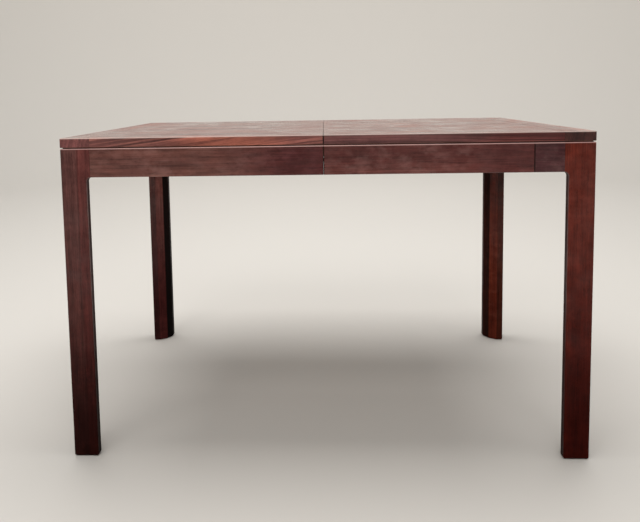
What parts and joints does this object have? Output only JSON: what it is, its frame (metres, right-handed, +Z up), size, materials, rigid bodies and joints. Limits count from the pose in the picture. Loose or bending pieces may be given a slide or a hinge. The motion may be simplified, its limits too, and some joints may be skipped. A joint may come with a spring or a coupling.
{
  "type": "extending dining table",
  "caption": "Rectangular dining table with a split top and split aprons that pull apart on hidden dovetail slides, on flush square corner legs.",
  "frame": {"origin": "on the floor under the middle of the closed table", "axes": "+X along the length, from the left half to the right half; the front faces -Y; +Z up"},
  "size_m": [1.19, 0.8, 0.75],
  "materials": {
    "top_veneer": "rosewood veneer, satin lacquer",
    "top_edging": "solid rosewood, satin lacquer",
    "apron_wood": "solid rosewood, satin lacquer",
    "splice_wood": "dark purplish rosewood, satin lacquer",
    "leg_wood": "solid rosewood, satin lacquer",
    "inner_hardwood": "pale hardwood, unfinished and waxed",
    "zinc_steel": "zinc plated, dulled",
    "brass": "pressed brass, tarnished"
  },
  "bodies": {
    "left_half": {"top_panel_left": "top_veneer", "top_front_lipping_left": "top_edging", "top_back_lipping_left": "top_edging", "top_end_board_left": "top_edging", "apron_front_left": "apron_wood", "apron_back_left": "apron_wood", "apron_end_left": "apron_wood", "leg_front_left": "leg_wood", "leg_back_left": "leg_wood", "corner_block_front_left": "inner_hardwood", "corner_block_back_left": "inner_hardwood", "hanger_bolt_front_left": "zinc_steel", "hanger_bolt_back_left": "zinc_steel", "wing_nut_front_left": "zinc_steel", "wing_nut_back_left": "zinc_steel", "cleat_front_left": "inner_hardwood", "cleat_back_left": "inner_hardwood", "cleat_end_left": "inner_hardwood", "slide_front_left": "inner_hardwood", "slide_back_left": "inner_hardwood", "lock_base_front": "zinc_steel", "lock_base_back": "zinc_steel"},
    "right_half": {"top_panel_right": "top_veneer", "top_front_lipping_right": "top_edging", "top_back_lipping_right": "top_edging", "top_end_board_right": "top_edging", "apron_front_right": "apron_wood", "apron_front_splice": "splice_wood", "apron_back_right": "apron_wood", "apron_end_right": "apron_wood", "leg_front_right": "leg_wood", "leg_back_right": "leg_wood", "corner_block_front_right": "inner_hardwood", "corner_block_back_right": "inner_hardwood", "hanger_bolt_front_right": "zinc_steel", "hanger_bolt_back_right": "zinc_steel", "wing_nut_front_right": "zinc_steel", "wing_nut_back_right": "zinc_steel", "cleat_front_right": "inner_hardwood", "cleat_back_right": "inner_hardwood", "cleat_end_right": "inner_hardwood", "slide_front_right": "inner_hardwood", "slide_back_right": "inner_hardwood", "lock_keeper_front": "zinc_steel", "lock_keeper_back": "zinc_steel", "top_pin_front": "inner_hardwood", "top_pin_middle": "inner_hardwood", "top_pin_back": "inner_hardwood", "apron_pin_front": "inner_hardwood", "apron_pin_back": "inner_hardwood"},
    "slide_carriage": {"slide_front_middle": "inner_hardwood", "slide_back_middle": "inner_hardwood", "slide_tie_left": "inner_hardwood", "slide_tie_right": "inner_hardwood"},
    "lock_front": {"lock_lever_front": "brass"},
    "lock_back": {"lock_lever_back": "brass"}
  },
  "joints": [
    {"name": "extension", "type": "slide", "parent": "left_half", "child": "right_half", "axis": [1, 0, 0], "range_m": [0, 0.9]},
    {"name": "carriage_run", "type": "slide", "parent": "left_half", "child": "slide_carriage", "axis": [1, 0, 0], "range_m": [0, 0.45]},
    {"name": "lock_front_swing", "type": "hinge", "parent": "left_half", "child": "lock_front", "pos_m": [-0.03, -0.2999, 0.7244], "axis": [0, 0, 1], "range_deg": [0, 90]},
    {"name": "lock_back_swing", "type": "hinge", "parent": "left_half", "child": "lock_back", "pos_m": [-0.03, 0.2999, 0.7244], "axis": [0, 0, 1], "range_deg": [0, 90]}
  ],
  "couplings": [
    {"joint": "carriage_run", "follows": "extension", "ratio": 0.5}
  ]
}
